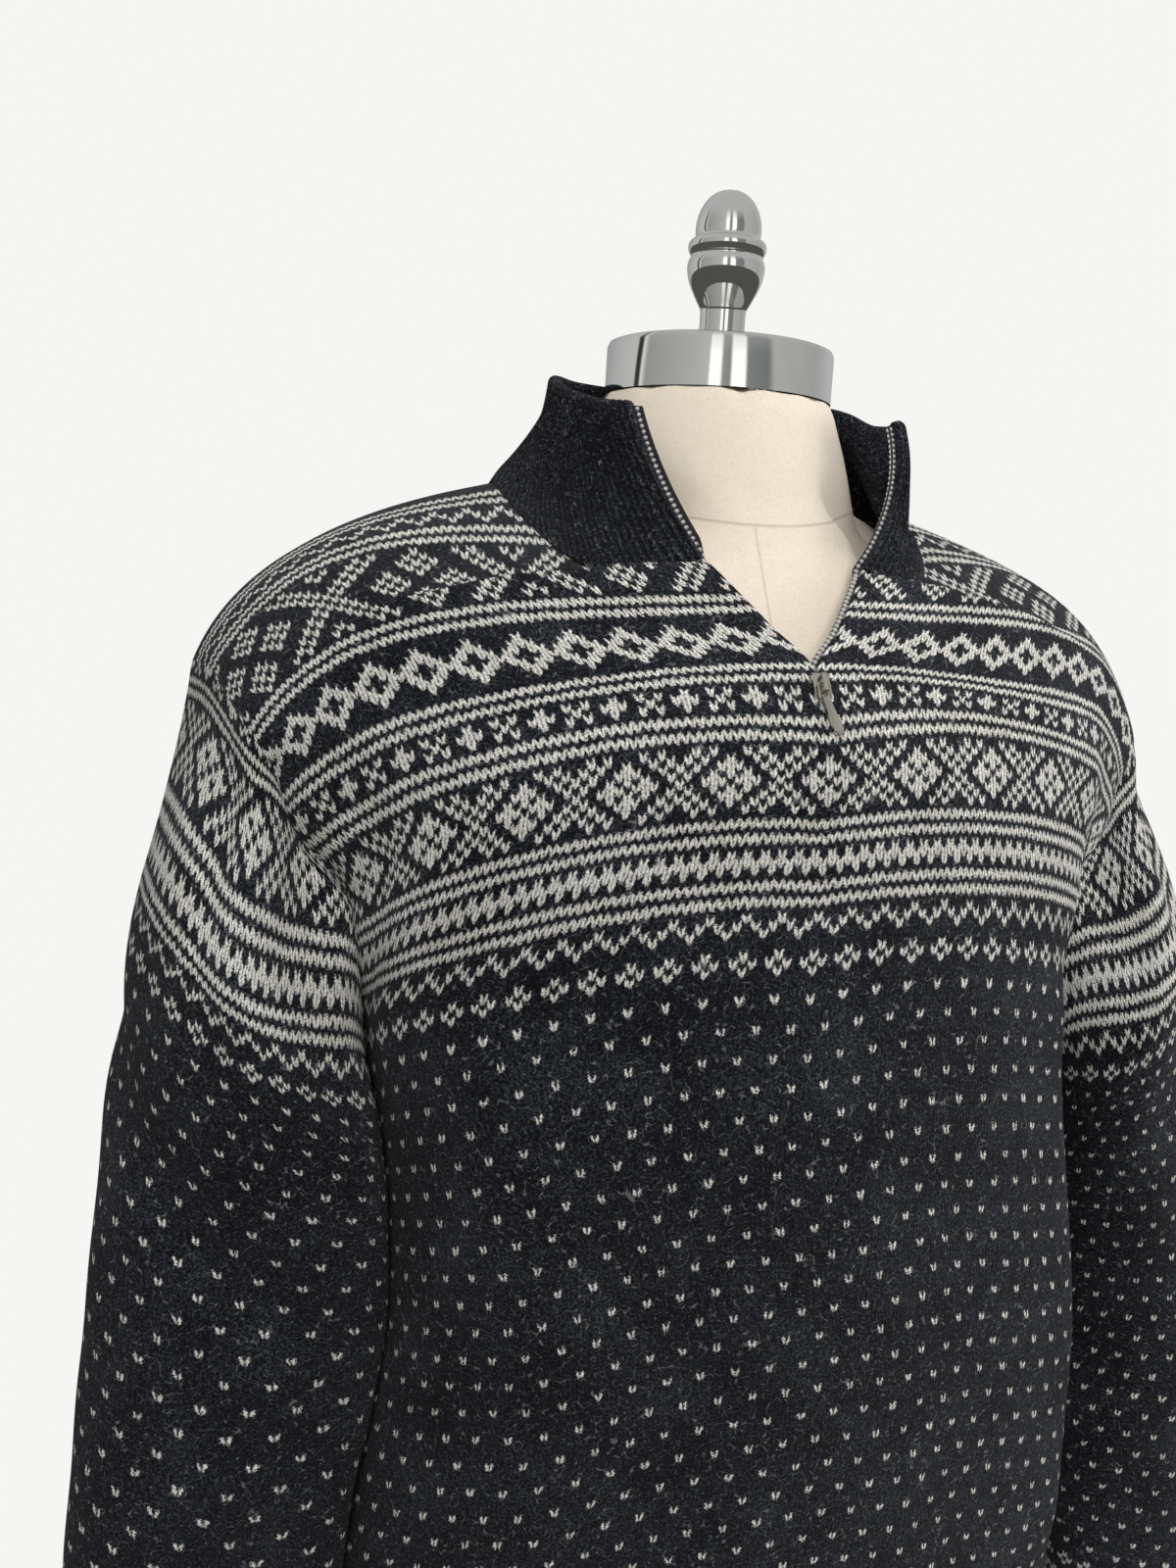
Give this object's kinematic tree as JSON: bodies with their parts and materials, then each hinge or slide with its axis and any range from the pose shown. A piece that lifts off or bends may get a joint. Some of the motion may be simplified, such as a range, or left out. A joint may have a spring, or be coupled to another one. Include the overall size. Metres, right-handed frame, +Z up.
{
  "type": "quarter-zip sweater on dress form",
  "caption": "Patterned knit quarter-zip sweater with a ribbed stand collar, cuffs and hem, worn by a limbless dress form on a pole and round base.",
  "frame": {"origin": "centre of the underside of the round base, where it stands on the floor", "axes": "+Z up, -Y to the front of the sweater, +X to the viewer's right, which is the wearer's left"},
  "size_m": [0.678, 0.34, 1.5525],
  "materials": {
    "knit": "charcoal wool stocking stitch with a cream pattern",
    "rib": "charcoal wool rib",
    "tape": "woven tape",
    "nickel": "polished nickel",
    "linen": "plain cream linen",
    "chrome": "polished",
    "stand_metal": "satin"
  },
  "bodies": {
    "root": {"front_panel": "knit", "back_panel": "knit", "sleeve_left": "knit", "sleeve_right": "knit", "collar": "rib", "hem_rib": "rib", "cuff_left": "rib", "cuff_right": "rib", "zip_tape_left": "tape", "zip_tape_right": "tape", "zip_slider": "nickel", "form_torso": "linen", "neck_cap": "chrome", "finial": "chrome", "form_plate": "stand_metal", "pole": "chrome", "base": "stand_metal"},
    "pull": {"zip_pull_loop": "nickel", "zip_pull_tab": "nickel"}
  },
  "joints": [
    {"name": "zip_pull_hinge", "type": "hinge", "parent": "root", "child": "pull", "pos_m": [0, -0.11976, 1.31614], "axis": [-1, 0, 0], "range_deg": [0, 150]}
  ]
}
